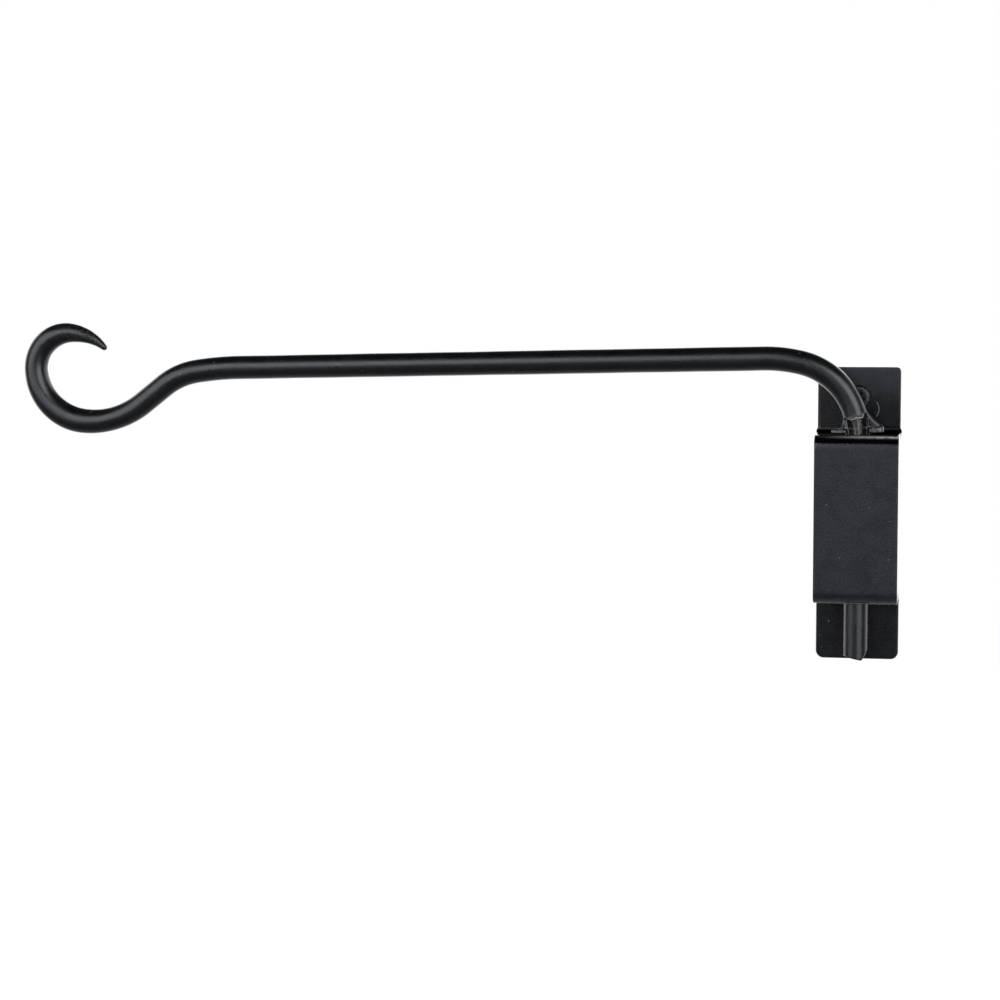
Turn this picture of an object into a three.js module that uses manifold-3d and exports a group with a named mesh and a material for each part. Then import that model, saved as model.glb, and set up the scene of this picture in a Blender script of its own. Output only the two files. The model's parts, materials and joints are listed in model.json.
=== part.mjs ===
// Swivel hanging basket bracket: a hat-shaped strap that two screws hold to a wall, and a bent steel rod that
// swivels in it and ends in an open spiral hook. Millimetres, +Z up. The wall is the plane y = 0, the bracket
// stands in front of it at -Y, and the origin is on the wall midway between the two screws.
import * as THREE from 'three';
import { mergeVertices, toCreasedNormals } from 'three/addons/utils/BufferGeometryUtils.js';
import Module from 'manifold-3d';

const wasm = await Module();
wasm.setup();

// ---- driving dimensions ----
// wall bracket: one bent strap
const STRAP_WIDTH = 32;
const STRAP_THICKNESS = 3;
const STRAP_INNER_BEND = 1.8;
const BRACKET_HEIGHT = 114.3;
const BRACKET_DEPTH = 27;
const UPPER_TAB_HEIGHT = 25.4;
const LOWER_TAB_HEIGHT = 24;
const TOP_CORNER_RADIUS = 1.6;
const BOTTOM_CORNER_RADIUS = 3;

// mounting screws: pan head, cross recess, coarse thread
const SCREW_TO_TAB_END = 11.65;
const SCREW_SHANK_DIAMETER = 4.8;
const SCREW_CORE_DIAMETER = 3.4;
const SCREW_LENGTH = 32;
const SCREW_PLAIN_LENGTH = 8;
const SCREW_POINT_LENGTH = 6;
const THREAD_PITCH = 2.2;
const THREAD_FLANK_SHARE = 0.3;
const SCREW_HEAD_DIAMETER = 9.2;
const SCREW_HEAD_HEIGHT = 2.8;
const SCREW_HEAD_RIM = 0.9;
const SCREW_DOME_POWER = 0.8;
const RECESS_WIDTH = 4.6;
const RECESS_SLOT = 1.2;
const RECESS_DEPTH = 1.7;

// one rod: pivot pin, arm and hook
const ROD_DIAMETER = 9.5;
const PIN_BELOW_FLANGE = 22.95;
const BEND_RADIUS = 28.1;
const BEND_ANGLE = THREE.MathUtils.degToRad(77);
const BEND_EASE_RADIUS = 60.5;
const ARM_REACH = 308.5;
const ARM_DROOP = THREE.MathUtils.degToRad(1.2);
const HOOK_LEAD_RADIUS = 132;
const HOOK_LEAD_ANGLE = THREE.MathUtils.degToRad(7.6);
const HOOK_DIP_RADIUS = 30.7;
const HOOK_DIP_ANGLE = THREE.MathUtils.degToRad(29.2);
const HOOK_DIP_RUN = 11.4;
// the spiral tightens from the seat to the top and opens a little again at the point
const HOOK_SEAT_RADIUS = 35.1;
const HOOK_SEAT_RISE = THREE.MathUtils.degToRad(6.9);
const HOOK_SIDE_RADIUS = 21.9;
const HOOK_SIDE_ANGLE = THREE.MathUtils.degToRad(79.6);
const HOOK_TOP_RADIUS = 14.3;
const HOOK_TOP_ANGLE = THREE.MathUtils.degToRad(92.4);
const HOOK_POINT_RADIUS = 21.4;
const HOOK_POINT_ANGLE = THREE.MathUtils.degToRad(44.4);
// the forging leaves the rod a little thicker in the hook's plane, a short way past the seat
const HOOK_SWELL = 0.8;
const HOOK_SWELL_PAST_SEAT = 13;
const HOOK_SWELL_LENGTH = 50;
const HOOK_TAPER_LENGTH = 28;
const HOOK_TIP_DIAMETER = 2.4;
const HOOK_TIP_SHOULDER = 0.6;

// stop lugs, pinched out of the rod just above the top flange
const LUG_SPAN = 20.6;
const LUG_THICKNESS = 3.6;
const LUG_EDGE_HEIGHT = 1.6;
const LUG_EDGE_ROUND = 0.6;
const LUG_RISE = 7.8;
const PINCH_HEIGHT = 5.7;
const PINCH_BELOW_FLANGE = 0.8;
const PINCH_RIDGE_WIDTH = 2.6;
const PINCH_ROOT_WIDTH = 5.6;

// sheared lower end of the pin
const SHEAR_SLOPE = THREE.MathUtils.degToRad(12);
const SHEAR_CORNER_SLOPE = THREE.MathUtils.degToRad(62);
const SHEAR_CORNER_HEIGHT = 4.6;

// clearances
const PIVOT_CLEARANCE = 0.4;
const SCREW_HOLE_CLEARANCE = 0.35;
const REST_GAP = 0.3;
const LUG_TO_BEND_GAP = 0.6;

// smoothness
const ROD_SIDES = 24;
const HOLE_SIDES = 32;
const SCREW_SIDES = 12;
const THREAD_STEPS = 5;
const DOME_STEPS = 6;
const FLARE_STEPS = 6;
const ARC_STEP = THREE.MathUtils.degToRad(6);
const STRAIGHT_STEP = 25;
const CREASE_ANGLE = THREE.MathUtils.degToRad(35);

// ---- worked out from the driving dimensions ----
const strapOuterBend = STRAP_INNER_BEND + STRAP_THICKNESS;
const tabEndZ = BRACKET_HEIGHT / 2;
const upperFlangeZ = tabEndZ - UPPER_TAB_HEIGHT;
const lowerFlangeZ = LOWER_TAB_HEIGHT - tabEndZ;
const screwZ = tabEndZ - SCREW_TO_TAB_END;
const rodRadius = ROD_DIAMETER / 2;
const pivotY = -(STRAP_THICKNESS + STRAP_INNER_BEND + LUG_TO_BEND_GAP + LUG_SPAN / 2);
const pivotHoleRadius = rodRadius + PIVOT_CLEARANCE;
const screwHoleRadius = SCREW_SHANK_DIAMETER / 2 + SCREW_HOLE_CLEARANCE;
const pinBottomZ = lowerFlangeZ - PIN_BELOW_FLANGE;
const lugBottomZ = upperFlangeZ + REST_GAP;

const paint = (color, roughness) => new THREE.MeshStandardMaterial({ color, roughness, metalness: 0.3 });
const strapPaint = paint('#303135', 0.5);
const rodPaint = paint('#1d1e21', 0.35);
const screwPaint = paint('#2b2c30', 0.4);

// ---- solids ----
function toSolid(geometry) {
  const bare = geometry.clone();
  bare.deleteAttribute('normal');
  bare.deleteAttribute('uv');
  const merged = mergeVertices(bare, 1e-4);
  return new wasm.Manifold(new wasm.Mesh({
    numProp: 3,
    vertProperties: new Float32Array(merged.attributes.position.array),
    triVerts: new Uint32Array(merged.index.array),
  }));
}

function toMesh(name, solid, material) {
  const { numProp, vertProperties, triVerts } = solid.getMesh();
  const positions = new Float32Array((vertProperties.length / numProp) * 3);
  for (let i = 0; i < positions.length / 3; i += 1) {
    positions.set(vertProperties.subarray(i * numProp, i * numProp + 3), i * 3);
  }
  const geometry = new THREE.BufferGeometry();
  geometry.setAttribute('position', new THREE.BufferAttribute(positions, 3));
  geometry.setIndex(new THREE.BufferAttribute(new Uint32Array(triVerts), 1));
  const mesh = new THREE.Mesh(toCreasedNormals(geometry, CREASE_ANGLE), material);
  mesh.name = name;
  return mesh;
}

// A closed outline from [x, y, corner radius] corners, each radius drawn as a tangent arc.
function filletedOutline(corners) {
  const points = [];
  corners.forEach(([x, y, radius], i) => {
    const corner = new THREE.Vector2(x, y);
    if (radius === 0) {
      points.push(corner);
      return;
    }
    const [beforeX, beforeY] = corners[(i + corners.length - 1) % corners.length];
    const [afterX, afterY] = corners[(i + 1) % corners.length];
    const toBefore = new THREE.Vector2(beforeX - x, beforeY - y).normalize();
    const toAfter = new THREE.Vector2(afterX - x, afterY - y).normalize();
    const halfAngle = Math.acos(toBefore.dot(toAfter)) / 2;
    const centre = toBefore.clone().add(toAfter).setLength(radius / Math.sin(halfAngle)).add(corner);
    const start = toBefore.clone().multiplyScalar(radius / Math.tan(halfAngle)).add(corner).sub(centre);
    const end = toAfter.clone().multiplyScalar(radius / Math.tan(halfAngle)).add(corner).sub(centre);
    const sweep = Math.atan2(start.cross(end), start.dot(end));
    const steps = Math.max(2, Math.ceil(Math.abs(sweep) / (2 * ARC_STEP)));
    for (let k = 0; k <= steps; k += 1) {
      const spoke = start.clone().rotateAround(new THREE.Vector2(), (sweep * k) / steps);
      points.push(spoke.add(centre));
    }
  });
  return points;
}

// Extrudes an outline in the YZ plane along X, centred on x = 0.
function extrudeAcross(outline, width) {
  const geometry = new THREE.ExtrudeGeometry(new THREE.Shape(outline), { depth: width, bevelEnabled: false });
  geometry.translate(0, 0, -width / 2);
  const yzx = new THREE.Matrix4().makeBasis(
    new THREE.Vector3(0, 1, 0), new THREE.Vector3(0, 0, 1), new THREE.Vector3(1, 0, 0));
  return geometry.applyMatrix4(yzx);
}

// Extrudes an outline in the XZ plane along Y, from y = middleY - depth / 2 to middleY + depth / 2.
function extrudeForward(outline, depth, middleY) {
  const geometry = new THREE.ExtrudeGeometry(new THREE.Shape(outline), { depth, bevelEnabled: false });
  geometry.translate(0, 0, -depth / 2);
  geometry.rotateX(Math.PI / 2);
  return geometry.translate(0, middleY, 0);
}

// Extrudes an outline in the XY plane up Z.
function extrudeUp(outline, bottomZ, height) {
  const shape = new THREE.Shape(outline);
  return new THREE.ExtrudeGeometry(shape, { depth: height, bevelEnabled: false }).translate(0, 0, bottomZ);
}

// ---- wall bracket ----
// The strap seen from its side: tab, flange, front face, flange, tab, then back along the wall side.
function strapSideOutline() {
  const tabFrontY = -STRAP_THICKNESS;
  const frontY = -BRACKET_DEPTH;
  const frontInsideY = frontY + STRAP_THICKNESS;
  const upperInsideZ = upperFlangeZ - STRAP_THICKNESS;
  const lowerInsideZ = lowerFlangeZ + STRAP_THICKNESS;
  return filletedOutline([
    [tabFrontY, tabEndZ, 0],
    [tabFrontY, upperFlangeZ, STRAP_INNER_BEND],
    [frontY, upperFlangeZ, strapOuterBend],
    [frontY, lowerFlangeZ, strapOuterBend],
    [tabFrontY, lowerFlangeZ, STRAP_INNER_BEND],
    [tabFrontY, -tabEndZ, 0],
    [0, -tabEndZ, 0],
    [0, lowerInsideZ, strapOuterBend],
    [frontInsideY, lowerInsideZ, STRAP_INNER_BEND],
    [frontInsideY, upperInsideZ, STRAP_INNER_BEND],
    [0, upperInsideZ, strapOuterBend],
    [0, tabEndZ, 0],
  ]);
}

// The strap seen from the front, with the corners of its two ends rounded.
function strapFrontOutline() {
  const side = STRAP_WIDTH / 2;
  return filletedOutline([
    [-side, -tabEndZ, BOTTOM_CORNER_RADIUS],
    [side, -tabEndZ, BOTTOM_CORNER_RADIUS],
    [side, tabEndZ, TOP_CORNER_RADIUS],
    [-side, tabEndZ, TOP_CORNER_RADIUS],
  ]);
}

function pivotHoleCutter() {
  const cutter = new THREE.CylinderGeometry(pivotHoleRadius, pivotHoleRadius, 2 * tabEndZ, HOLE_SIDES);
  cutter.rotateX(Math.PI / 2);
  return cutter.translate(0, pivotY, 0);
}

function screwHoleCutter(z) {
  const length = 4 * STRAP_THICKNESS;
  const cutter = new THREE.CylinderGeometry(screwHoleRadius, screwHoleRadius, length, HOLE_SIDES);
  return cutter.translate(0, 0, z);
}

function wallBracket() {
  const bent = toSolid(extrudeAcross(strapSideOutline(), STRAP_WIDTH));
  const outline = toSolid(extrudeForward(strapFrontOutline(), 4 * BRACKET_DEPTH, 0));
  return bent.intersect(outline)
    .subtract(toSolid(pivotHoleCutter()))
    .subtract(toSolid(screwHoleCutter(screwZ)))
    .subtract(toSolid(screwHoleCutter(-screwZ)));
}

// ---- mounting screws ----
// A screw along +Z for the shank, its head below z = 0, to be turned so that the shank runs into the wall.
function screwHead() {
  const headRadius = SCREW_HEAD_DIAMETER / 2;
  const domeHeight = SCREW_HEAD_HEIGHT - SCREW_HEAD_RIM;
  const profile = [new THREE.Vector2(0, -SCREW_HEAD_HEIGHT)];
  for (let k = 1; k <= DOME_STEPS; k += 1) {
    const angle = (Math.PI / 2) * (k / DOME_STEPS);
    const radius = headRadius * Math.sin(angle) ** SCREW_DOME_POWER;
    profile.push(new THREE.Vector2(radius, -SCREW_HEAD_RIM - domeHeight * Math.cos(angle)));
  }
  profile.push(new THREE.Vector2(headRadius, 0));
  profile.push(new THREE.Vector2(0, 0));
  return new THREE.LatheGeometry(profile, HOLE_SIDES).rotateX(Math.PI / 2);
}

function crossRecess() {
  const long = new THREE.BoxGeometry(RECESS_WIDTH, RECESS_SLOT, 2 * RECESS_DEPTH);
  const across = new THREE.BoxGeometry(RECESS_SLOT, RECESS_WIDTH, 2 * RECESS_DEPTH);
  long.translate(0, 0, -SCREW_HEAD_HEIGHT);
  across.translate(0, 0, -SCREW_HEAD_HEIGHT);
  return toSolid(long).add(toSolid(across));
}

// The shank's radius at a height and an angle: plain under the head, then a helical ridge on a tapering core.
function shankRadius(height, angle) {
  const outer = SCREW_SHANK_DIAMETER / 2;
  if (height <= SCREW_PLAIN_LENGTH) {
    return outer;
  }
  const toPoint = Math.max(0, SCREW_LENGTH - height) / SCREW_POINT_LENGTH;
  const taper = Math.min(1, toPoint);
  const runOut = Math.min(1, (height - SCREW_PLAIN_LENGTH) / THREAD_PITCH);
  const core = outer + (SCREW_CORE_DIAMETER / 2 - outer) * runOut;
  const turns = (height - SCREW_PLAIN_LENGTH) / THREAD_PITCH - angle / (2 * Math.PI);
  const offCrest = Math.abs(turns - Math.floor(turns) - 0.5);
  const ridge = Math.max(0, 1 - offCrest / THREAD_FLANK_SHARE);
  return taper * (core + (outer - core) * ridge);
}

function screwShank() {
  const rowCount = Math.round((SCREW_LENGTH - SCREW_PLAIN_LENGTH) / (THREAD_PITCH / THREAD_STEPS));
  const heights = [-REST_GAP, SCREW_PLAIN_LENGTH / 2];
  for (let k = 0; k < rowCount; k += 1) {
    heights.push(SCREW_PLAIN_LENGTH + ((SCREW_LENGTH - SCREW_PLAIN_LENGTH) * k) / rowCount);
  }
  const rings = heights.map((height) => {
    const ring = [];
    for (let k = 0; k < SCREW_SIDES; k += 1) {
      const angle = (2 * Math.PI * k) / SCREW_SIDES;
      const radius = shankRadius(height, angle);
      ring.push(new THREE.Vector3(radius * Math.cos(angle), radius * Math.sin(angle), height));
    }
    return ring;
  });
  return skinRings(rings, new THREE.Vector3(0, 0, heights[0]), new THREE.Vector3(0, 0, SCREW_LENGTH));
}

function mountingScrew() {
  return toSolid(screwHead()).subtract(crossRecess()).add(toSolid(screwShank()));
}

// ---- swept rod ----
// Closes a stack of rings with the same number of points into a skin with a fan at each end.
// The rings run counter-clockwise seen from the end that the stack grows towards.
function skinRings(rings, firstTip, lastTip) {
  const sides = rings[0].length;
  const points = [firstTip, ...rings.flat(), lastTip];
  const index = [];
  const at = (ring, side) => 1 + ring * sides + (side % sides);
  for (let side = 0; side < sides; side += 1) {
    index.push(0, at(0, side + 1), at(0, side));
    for (let ring = 0; ring + 1 < rings.length; ring += 1) {
      index.push(at(ring, side), at(ring, side + 1), at(ring + 1, side + 1));
      index.push(at(ring, side), at(ring + 1, side + 1), at(ring + 1, side));
    }
    index.push(at(rings.length - 1, side), at(rings.length - 1, side + 1), points.length - 1);
  }
  const geometry = new THREE.BufferGeometry().setFromPoints(points);
  geometry.setIndex(index);
  return geometry;
}

// A flat route in the XZ plane: straight runs, and arcs that turn left (positive) or right (negative).
function traceRoute(start, moves) {
  const stations = [{ ...start, along: 0 }];
  moves.forEach(({ run, radius, turn }) => {
    const from = stations.at(-1);
    const arc = run === undefined;
    const length = arc ? radius * Math.abs(turn) : run;
    const steps = Math.ceil(arc ? Math.abs(turn) / ARC_STEP : run / STRAIGHT_STEP);
    for (let k = 1; k <= steps; k += 1) {
      const share = k / steps;
      const along = from.along + length * share;
      if (arc) {
        const side = Math.sign(turn) * radius;
        const heading = from.heading + turn * share;
        const x = from.x + side * (Math.sin(heading) - Math.sin(from.heading));
        const z = from.z - side * (Math.cos(heading) - Math.cos(from.heading));
        stations.push({ x, z, heading, along });
      } else {
        const x = from.x + run * share * Math.cos(from.heading);
        const z = from.z + run * share * Math.sin(from.heading);
        stations.push({ x, z, heading: from.heading, along });
      }
    }
  });
  return stations;
}

// From the arm down to the seat, where the rod runs level, and from there round to the point.
const movesToSeat = [
  { radius: HOOK_LEAD_RADIUS, turn: HOOK_LEAD_ANGLE },
  { radius: HOOK_DIP_RADIUS, turn: HOOK_DIP_ANGLE },
  { run: HOOK_DIP_RUN },
  { radius: HOOK_SEAT_RADIUS, turn: -(ARM_DROOP + HOOK_LEAD_ANGLE + HOOK_DIP_ANGLE) },
];
const movesToPoint = [
  { radius: HOOK_SEAT_RADIUS, turn: -HOOK_SEAT_RISE },
  { radius: HOOK_SIDE_RADIUS, turn: -HOOK_SIDE_ANGLE },
  { radius: HOOK_TOP_RADIUS, turn: -HOOK_TOP_ANGLE },
  { radius: HOOK_POINT_RADIUS, turn: -HOOK_POINT_ANGLE },
];

// The pin stands on z = pinBottomZ and the bend starts at the top flange. The arm's straight run puts the
// hook's seat at ARM_REACH from the pivot.
function rodRoute() {
  const up = Math.PI / 2;
  const start = { x: 0, z: pinBottomZ, heading: up };
  const pinAndBend = [
    { run: upperFlangeZ - pinBottomZ },
    { radius: BEND_RADIUS, turn: BEND_ANGLE },
    { radius: BEND_EASE_RADIUS, turn: up + ARM_DROOP - BEND_ANGLE },
  ];
  const bendEnd = traceRoute(start, pinAndBend).at(-1);
  const seatFromArm = traceRoute({ x: 0, z: 0, heading: bendEnd.heading }, movesToSeat).at(-1);
  const armRun = (bendEnd.x + ARM_REACH + seatFromArm.x) / -Math.cos(bendEnd.heading);
  const toSeat = [...pinAndBend, { run: armRun }, ...movesToSeat];
  return {
    stations: traceRoute(start, [...toSeat, ...movesToPoint]),
    seatAlong: traceRoute(start, toSeat).at(-1).along,
  };
}

function rodRing(station, inPlaneRadius, depthRadius) {
  const ring = [];
  for (let k = 0; k < ROD_SIDES; k += 1) {
    const angle = (2 * Math.PI * k) / ROD_SIDES;
    const inPlane = -inPlaneRadius * Math.cos(angle);
    ring.push(new THREE.Vector3(
      station.x - inPlane * Math.sin(station.heading),
      pivotY + depthRadius * Math.sin(angle),
      station.z + inPlane * Math.cos(station.heading),
    ));
  }
  return ring;
}

function sweptRod() {
  const { stations, seatAlong } = rodRoute();
  const end = stations.at(-1);
  const tipRadius = HOOK_TIP_DIAMETER / 2;
  const ringAt = (station) => {
    const toTip = Math.min(1, (end.along - station.along) / HOOK_TAPER_LENGTH);
    const radius = tipRadius + (rodRadius - tipRadius) * Math.sin((Math.PI / 2) * toTip);
    const fromSwell = Math.abs(station.along - seatAlong - HOOK_SWELL_PAST_SEAT);
    const swell = (HOOK_SWELL / 2) * (1 - THREE.MathUtils.smoothstep(fromSwell, 0, HOOK_SWELL_LENGTH / 2));
    return rodRing(station, radius + swell, radius);
  };
  const rings = stations.map(ringAt);
  const beyond = (distance) => ({
    x: end.x + distance * Math.cos(end.heading),
    z: end.z + distance * Math.sin(end.heading),
    heading: end.heading,
  });
  const shoulder = tipRadius * HOOK_TIP_SHOULDER;
  const shoulderRadius = Math.sqrt(tipRadius ** 2 - shoulder ** 2);
  rings.push(rodRing(beyond(shoulder), shoulderRadius, shoulderRadius));
  const tip = beyond(tipRadius);
  const foot = stations[0];
  return skinRings(rings, new THREE.Vector3(foot.x, pivotY, foot.z), new THREE.Vector3(tip.x, pivotY, tip.z));
}

// ---- stop lugs and pinch marks ----
function lugOutline() {
  const tipX = LUG_SPAN / 2;
  const shoulderZ = lugBottomZ + LUG_EDGE_HEIGHT;
  const flare = new THREE.QuadraticBezierCurve(
    new THREE.Vector2(rodRadius - REST_GAP, lugBottomZ + LUG_RISE),
    new THREE.Vector2(rodRadius + LUG_EDGE_HEIGHT / 2, shoulderZ + LUG_EDGE_HEIGHT / 2),
    new THREE.Vector2(tipX - LUG_EDGE_ROUND, shoulderZ),
  ).getPoints(FLARE_STEPS);
  const right = [
    [tipX, shoulderZ - LUG_EDGE_ROUND / 2, 0],
    [tipX, lugBottomZ, LUG_EDGE_ROUND],
  ];
  const flareCorners = flare.map(({ x, y }) => [x, y, 0]);
  const rightSide = [...flareCorners, ...right];
  const leftSide = rightSide.map(([x, z, radius]) => [-x, z, radius]).reverse();
  return filletedOutline([...rightSide, ...leftSide]);
}

function stopLugs() {
  return toSolid(extrudeForward(lugOutline(), LUG_THICKNESS, pivotY));
}

// The die presses the rod on both sides of a narrow ridge, in front and behind.
function pinchCutter(sideX, sideY) {
  const lugHalf = LUG_THICKNESS / 2;
  const beyond = ROD_DIAMETER;
  const corners = [
    [PINCH_RIDGE_WIDTH / 2, beyond],
    [PINCH_ROOT_WIDTH / 2, lugHalf],
    [beyond, lugHalf],
    [beyond, beyond],
  ].map(([x, y]) => new THREE.Vector2(sideX * x, pivotY + sideY * y));
  const bottomZ = upperFlangeZ - PINCH_BELOW_FLANGE;
  return toSolid(extrudeUp(corners, bottomZ, PINCH_HEIGHT + PINCH_BELOW_FLANGE));
}

// ---- sheared pin end ----
// A block whose top face passes through a point of the XZ plane and slopes down towards +X by the angle.
function blockUnder(x, z, angle) {
  const size = 6 * ROD_DIAMETER;
  const block = new THREE.BoxGeometry(size, size, size);
  block.translate(0, 0, -size / 2);
  block.rotateY(angle);
  return toSolid(block.translate(x, pivotY, z));
}

function swivelArm() {
  const lift = rodRadius * Math.tan(SHEAR_SLOPE);
  let arm = toSolid(sweptRod()).add(stopLugs());
  [-1, 1].forEach((sideX) => {
    [-1, 1].forEach((sideY) => {
      arm = arm.subtract(pinchCutter(sideX, sideY));
    });
  });
  return arm
    .subtract(blockUnder(0, pinBottomZ + lift, SHEAR_SLOPE))
    .subtract(blockUnder(rodRadius, pinBottomZ + SHEAR_CORNER_HEIGHT, -SHEAR_CORNER_SLOPE));
}

// ---- the assembly ----
const bracket = new THREE.Group();
bracket.add(toMesh('wall_bracket', wallBracket(), strapPaint));
bracket.add(toMesh('swivel_arm', swivelArm(), rodPaint));
[['mounting_screw_upper', 1], ['mounting_screw_lower', -1]].forEach(([name, side]) => {
  const screw = toMesh(name, mountingScrew(), screwPaint);
  screw.rotation.x = -Math.PI / 2;
  screw.position.set(0, -STRAP_THICKNESS - REST_GAP, side * screwZ);
  bracket.add(screw);
});

export default bracket;
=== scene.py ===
"""Looks of a swivel hanging basket bracket: a bent strap, a round rod with a hook, two pan head screws.

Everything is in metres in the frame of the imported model: +Z up, the wall is the plane y = 0, the bracket
stands in front of it at -Y, and the arm lies along -X at rest.
"""
import json
import math

import bmesh
import bpy
import numpy as np
from mathutils import Matrix, Vector

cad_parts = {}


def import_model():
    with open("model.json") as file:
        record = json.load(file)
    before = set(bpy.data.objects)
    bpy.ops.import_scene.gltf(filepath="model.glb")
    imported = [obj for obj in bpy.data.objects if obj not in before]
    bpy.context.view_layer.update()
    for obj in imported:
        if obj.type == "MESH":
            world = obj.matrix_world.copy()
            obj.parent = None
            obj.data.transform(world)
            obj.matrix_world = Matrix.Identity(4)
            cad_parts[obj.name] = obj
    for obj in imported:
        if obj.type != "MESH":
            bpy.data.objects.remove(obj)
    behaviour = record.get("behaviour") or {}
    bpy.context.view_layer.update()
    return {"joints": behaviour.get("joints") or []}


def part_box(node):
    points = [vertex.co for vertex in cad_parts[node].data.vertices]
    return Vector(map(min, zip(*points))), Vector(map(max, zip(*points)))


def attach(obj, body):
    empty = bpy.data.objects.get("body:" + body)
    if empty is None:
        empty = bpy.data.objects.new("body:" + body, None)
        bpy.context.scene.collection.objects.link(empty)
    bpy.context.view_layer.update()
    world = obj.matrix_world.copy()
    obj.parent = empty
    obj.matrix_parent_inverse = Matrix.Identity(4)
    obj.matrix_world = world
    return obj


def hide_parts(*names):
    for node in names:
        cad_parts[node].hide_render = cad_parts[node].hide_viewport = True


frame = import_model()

MM = 0.001
WELD_DISTANCE = 1e-6
NO_DISTANCE = 1e-7

# ---- sizes read from the frame ----
strap_low, strap_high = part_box("wall_bracket")
head_low, head_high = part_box("mounting_screw_upper")
pivot_y = frame["joints"][0]["pos_m"][1]
strap_half = strap_high.x
strap_depth = -strap_low.y
tab_end_z = strap_high.z
screw_z = (head_low.z + head_high.z) / 2

# ---- strap ----
THICKNESS = 3.0 * MM
INNER_BEND = 1.8 * MM
UPPER_FLANGE_Z = 31.75 * MM
LOWER_FLANGE_Z = -33.15 * MM
TOP_CORNER = 1.6 * MM
BOTTOM_CORNER = 3.0 * MM
PIVOT_HOLE = 5.15 * MM
SCREW_HOLE = 2.75 * MM
EDGE_ROUND = 0.45 * MM
UPPER_TAB_BULGE = 0.7 * MM
BEND_BULGE = 0.2 * MM
SHRINK_SHARE = 0.3
BULGE_REACH = 4.0 * MM
# Painted shade: darker paint from the upper tab's corner over the flange to the end of the upper front bend,
# and on both tabs.
SHADE_FADE = 1.5 * MM
UPPER_TAB_SHADE = 0.6
UPPER_SHADE_RISE = (-0.3, 0.8)  # shares of the tab's length
LOWER_TAB_SHADE = 0.5
# Painted highlights: thin pale lines along the two front bends, with a faint painted glow on the lower one.
UPPER_SHINE = 0.7
UPPER_SHINE_AT = 1.7 * MM
UPPER_SHINE_HALF = 0.4 * MM
LOWER_SHINE_AT = 0.5 * MM
LOWER_SHINE_HALF = 0.8 * MM
LOWER_GLOW = 0.05
LOWER_GLOW_AT = 2.0 * MM
LOWER_GLOW_HALF = 1.2 * MM
PATCH_HALF = 6.2 * MM
PATCH_CELLS = 12
PATCH_RINGS = 6
PATCH_CROWDING = 1.5
PLATE_STEP = 1.0 * MM
BEND_STEPS = 12
EDGE_STEPS = 4

# ---- rod ----
ROD_RADIUS = 4.75 * MM
PIN_BELOW_FLANGE = 22.95 * MM
BEND_RADIUS = 28.1 * MM
BEND_ANGLE = math.radians(77.0)
EASE_RADIUS = 60.5 * MM
ARM_REACH = 308.5 * MM
ARM_DROOP = math.radians(1.2)
LEAD_ANGLE = math.radians(7.6)
DIP_ANGLE = math.radians(29.2)
MOVES_TO_SEAT = [
    ("arc", 132.0 * MM, LEAD_ANGLE),
    ("arc", 30.7 * MM, DIP_ANGLE),
    ("run", 11.4 * MM),
    ("arc", 35.1 * MM, -(ARM_DROOP + LEAD_ANGLE + DIP_ANGLE)),
]
MOVES_TO_POINT = [
    ("arc", 35.1 * MM, math.radians(-6.9)),
    ("arc", 21.9 * MM, math.radians(-79.6)),
    ("arc", 14.3 * MM, math.radians(-92.4)),
    ("arc", 21.4 * MM, math.radians(-44.4)),
]
HOOK_SWELL = 0.8 * MM
SWELL_PAST_SEAT = 13.0 * MM
SWELL_LENGTH = 50.0 * MM
TAPER_LENGTH = 28.0 * MM
TIP_RADIUS = 1.2 * MM
TIP_ANGLES = np.radians([30.0, 60.0, 80.0])
ROD_SIDES = 144
ARC_STEP = 1.2 * MM
RUN_STEP = 5.0 * MM

# ---- stop lugs and die marks, heights above the top flange ----
LUG_REACH = 10.0 * MM
LUG_BOTTOM = 0.5 * MM
LUG_BAR_HEIGHT = 1.5 * MM
LUG_BAR_TOP = LUG_BOTTOM + LUG_BAR_HEIGHT
LUG_BAR_FADE = (0.6 * LUG_BAR_HEIGHT, 1.4 * LUG_BAR_HEIGHT)
LUG_BAR_HALF = 1.9 * MM
LUG_WEB_HALF = 1.2 * MM
LUG_FLARE_START = 1.9 * MM
LUG_TOP = 8.35 * MM
LUG_FLARE_POWER = 1.8
LUG_SQUARENESS = 10
LUG_PAINT_FULL = 1.2 * ROD_RADIUS
ARM_SIDE_FLARE = 0.4
LUG_ROUND = 0.5 * MM
PINCH_BOTTOM = -0.8 * MM
PINCH_TOP = 5.7 * MM
PINCH_LEDGE = 0.5 * MM
POCKET_HALF = 0.8 * MM
POCKET_REACH = 0.75 * ROD_RADIUS
RIDGE_HALF = 1.0 * MM
RIDGE_FLARE = 0.7 * MM
RIDGE_POWER = 3
RIDGE_WALL = 0.45 * MM
RIDGE_CROWN = 1.9 * MM
RIDGE_SINK = 0.2 * MM
LEDGE_LIP = 0.35 * MM
LEDGE_LIP_AT = 1.5 * PINCH_LEDGE
LEDGE_RISE = 0.8 * (LUG_TOP - PINCH_TOP)
LEDGE_SPAN = (0.5 * ROD_RADIUS, 1.1 * ROD_RADIUS)
LEDGE_ZIGZAG = 0.2 * MM
ZIGZAG_LONG, ZIGZAG_SHORT = 0.55 * MM, 0.23 * MM
ZIGZAG_SHIFT = 1.0
ZIGZAG_SHARE = 0.8
# Painted shade in the die pockets, and painted highlights on the ledge, the ridge and the lugs' bars.
POCKET_SHADE = 0.9
LEDGE_SHINE = 0.55
LEDGE_SHINE_HALF = 0.25 * MM
LEDGE_REACH = 0.7 * ROD_RADIUS
RIDGE_SHINE = 0.16
RIDGE_SHINE_HALF = 0.25 * MM
BAR_SHINE = 0.08
PINCH_STEP = 0.15 * MM
ROUND_SHARE = 0.6

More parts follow.
